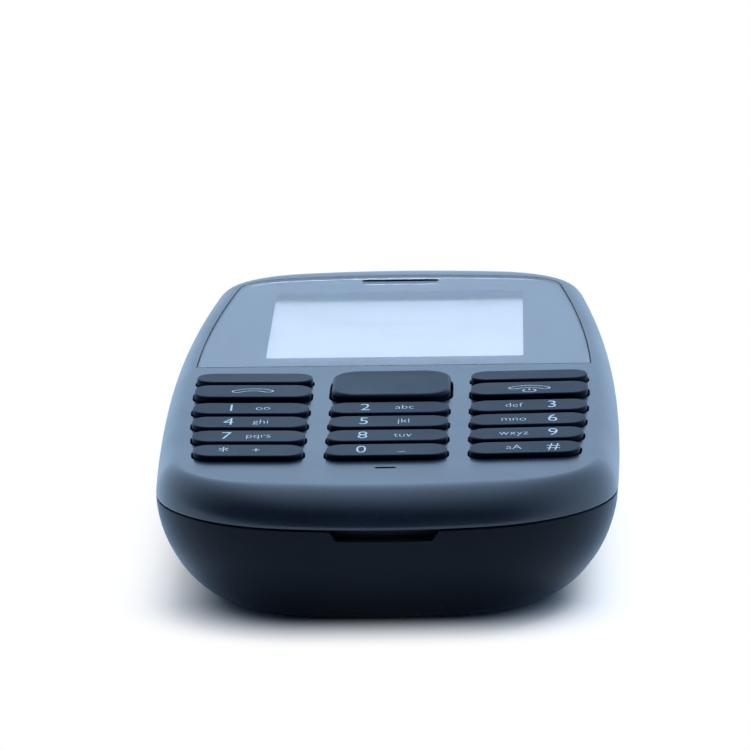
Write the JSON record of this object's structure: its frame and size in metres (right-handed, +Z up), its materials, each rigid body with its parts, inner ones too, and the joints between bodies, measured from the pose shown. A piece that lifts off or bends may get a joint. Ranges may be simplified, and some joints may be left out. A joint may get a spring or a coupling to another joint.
{
  "type": "bar mobile phone",
  "caption": "Bar mobile phone with a screen above a keypad and a square scroll key; keys press, the back cover and battery lift off.",
  "frame": {"origin": "under the middle of the underside, on the surface that the phone lies on", "axes": "+X to the right of a reader, +Y along the body towards the top end, +Z up out of the face"},
  "size_m": [0.049, 0.119, 0.0153],
  "materials": {
    "back_plastic": "fine satin",
    "face_plastic": "fine satin",
    "key_plastic": "fine satin",
    "window_clear": "clear gloss",
    "screen_glass": "lit panel",
    "inner_plastic": "plain",
    "white_plastic": "plain",
    "battery_wrap": "smooth",
    "soft_silicone": "milky",
    "foam": "foam",
    "tape": "adhesive tape",
    "cloth": "fine weave",
    "flex_film": "amber film",
    "board_laminate": "lacquered",
    "chip_black": "moulded",
    "sheet_steel": "plain",
    "contact_metal": "plated",
    "light_white": "clear"
  },
  "bodies": {
    "back_cover": {"back_cover": "back_plastic", "speaker_mesh": "cloth"},
    "battery": {"battery_pack": "battery_wrap", "battery_cap": "inner_plastic", "battery_terminals": "contact_metal"},
    "handset": {"front_cover": "face_plastic", "display_window": "window_clear", "display_panel": "screen_glass", "mid_frame": "inner_plastic", "loudspeaker": "inner_plastic", "audio_jack": "inner_plastic", "display_tray": "white_plastic", "keypad_mat": "soft_silicone", "microphone_boot": "soft_silicone", "display_gasket": "foam", "speaker_gasket": "foam", "window_tape": "tape", "earpiece_mesh": "cloth", "display_flex": "flex_film", "circuit_board": "board_laminate", "chips": "chip_black", "dome_sheet": "sheet_steel", "shield_can": "sheet_steel", "card_socket": "sheet_steel", "usb_socket": "sheet_steel", "frame_screws": "sheet_steel", "vibration_motor": "sheet_steel", "earpiece_receiver": "sheet_steel", "microphone": "sheet_steel", "battery_contacts": "contact_metal", "antenna": "contact_metal", "keypad_leds": "light_white"},
    "scroll_key": {"scroll_key": "key_plastic"},
    "scroll_pad": {"scroll_pad": "inner_plastic"},
    "scroll_plunger": {"scroll_plunger": "inner_plastic"},
    "left_soft_key": {"left_soft_key": "key_plastic"},
    "right_soft_key": {"right_soft_key": "key_plastic"},
    "call_key": {"call_key": "key_plastic"},
    "end_key": {"end_key": "key_plastic"},
    "key_star": {"key_star": "key_plastic"},
    "key_0": {"key_0": "key_plastic"},
    "key_hash": {"key_hash": "key_plastic"},
    "key_1": {"key_1": "key_plastic"},
    "key_2": {"key_2": "key_plastic"},
    "key_3": {"key_3": "key_plastic"},
    "key_4": {"key_4": "key_plastic"},
    "key_5": {"key_5": "key_plastic"},
    "key_6": {"key_6": "key_plastic"},
    "key_7": {"key_7": "key_plastic"},
    "key_8": {"key_8": "key_plastic"},
    "key_9": {"key_9": "key_plastic"}
  },
  "joints": [
    {"name": "handset_lift", "type": "slide", "parent": "back_cover", "child": "handset", "axis": [0, 0, 1], "range_m": [0, 0.04]},
    {"name": "battery_lift", "type": "slide", "parent": "back_cover", "child": "battery", "axis": [0, 0, 1], "range_m": [0, 0.02]},
    {"name": "scroll_press", "type": "slide", "parent": "handset", "child": "scroll_plunger", "axis": [0, 0, -1], "range_m": [0, 0.0002], "stiffness_N_per_m": 900, "deforming": ["dome_sheet"]},
    {"name": "scroll_rock_lengthways", "type": "hinge", "parent": "scroll_plunger", "child": "scroll_pad", "pos_m": [0, -0.0119, 0.01125], "axis": [1, 0, 0], "range_deg": [-2.5, 2.5], "stiffness_Nm_per_rad": 0.2, "deforming": ["dome_sheet"]},
    {"name": "scroll_rock_sideways", "type": "hinge", "parent": "scroll_pad", "child": "scroll_key", "pos_m": [0, -0.0119, 0.01205], "axis": [0, 1, 0], "range_deg": [-2.5, 2.5], "stiffness_Nm_per_rad": 0.2, "deforming": ["dome_sheet"]},
    {"name": "left_soft_key_press", "type": "slide", "parent": "handset", "child": "left_soft_key", "axis": [0, 0, -1], "range_m": [0, 0.0003], "stiffness_N_per_m": 600, "deforming": ["keypad_mat", "dome_sheet"]},
    {"name": "right_soft_key_press", "type": "slide", "parent": "handset", "child": "right_soft_key", "axis": [0, 0, -1], "range_m": [0, 0.0003], "stiffness_N_per_m": 600, "deforming": ["keypad_mat", "dome_sheet"]},
    {"name": "call_key_press", "type": "slide", "parent": "handset", "child": "call_key", "axis": [0, 0, -1], "range_m": [0, 0.0003], "stiffness_N_per_m": 600, "deforming": ["keypad_mat", "dome_sheet"]},
    {"name": "end_key_press", "type": "slide", "parent": "handset", "child": "end_key", "axis": [0, 0, -1], "range_m": [0, 0.0003], "stiffness_N_per_m": 600, "deforming": ["keypad_mat", "dome_sheet"]},
    {"name": "key_star_press", "type": "slide", "parent": "handset", "child": "key_star", "axis": [0, 0, -1], "range_m": [0, 0.0003], "stiffness_N_per_m": 600, "deforming": ["keypad_mat", "dome_sheet"]},
    {"name": "key_0_press", "type": "slide", "parent": "handset", "child": "key_0", "axis": [0, 0, -1], "range_m": [0, 0.0003], "stiffness_N_per_m": 600, "deforming": ["keypad_mat", "dome_sheet"]},
    {"name": "key_hash_press", "type": "slide", "parent": "handset", "child": "key_hash", "axis": [0, 0, -1], "range_m": [0, 0.0003], "stiffness_N_per_m": 600, "deforming": ["keypad_mat", "dome_sheet"]},
    {"name": "key_1_press", "type": "slide", "parent": "handset", "child": "key_1", "axis": [0, 0, -1], "range_m": [0, 0.0003], "stiffness_N_per_m": 600, "deforming": ["keypad_mat", "dome_sheet"]},
    {"name": "key_2_press", "type": "slide", "parent": "handset", "child": "key_2", "axis": [0, 0, -1], "range_m": [0, 0.0003], "stiffness_N_per_m": 600, "deforming": ["keypad_mat", "dome_sheet"]},
    {"name": "key_3_press", "type": "slide", "parent": "handset", "child": "key_3", "axis": [0, 0, -1], "range_m": [0, 0.0003], "stiffness_N_per_m": 600, "deforming": ["keypad_mat", "dome_sheet"]},
    {"name": "key_4_press", "type": "slide", "parent": "handset", "child": "key_4", "axis": [0, 0, -1], "range_m": [0, 0.0003], "stiffness_N_per_m": 600, "deforming": ["keypad_mat", "dome_sheet"]},
    {"name": "key_5_press", "type": "slide", "parent": "handset", "child": "key_5", "axis": [0, 0, -1], "range_m": [0, 0.0003], "stiffness_N_per_m": 600, "deforming": ["keypad_mat", "dome_sheet"]},
    {"name": "key_6_press", "type": "slide", "parent": "handset", "child": "key_6", "axis": [0, 0, -1], "range_m": [0, 0.0003], "stiffness_N_per_m": 600, "deforming": ["keypad_mat", "dome_sheet"]},
    {"name": "key_7_press", "type": "slide", "parent": "handset", "child": "key_7", "axis": [0, 0, -1], "range_m": [0, 0.0003], "stiffness_N_per_m": 600, "deforming": ["keypad_mat", "dome_sheet"]},
    {"name": "key_8_press", "type": "slide", "parent": "handset", "child": "key_8", "axis": [0, 0, -1], "range_m": [0, 0.0003], "stiffness_N_per_m": 600, "deforming": ["keypad_mat", "dome_sheet"]},
    {"name": "key_9_press", "type": "slide", "parent": "handset", "child": "key_9", "axis": [0, 0, -1], "range_m": [0, 0.0003], "stiffness_N_per_m": 600, "deforming": ["keypad_mat", "dome_sheet"]}
  ],
  "couplings": [
    {"joint": "battery_lift", "follows": "handset_lift", "ratio": 0.5}
  ]
}
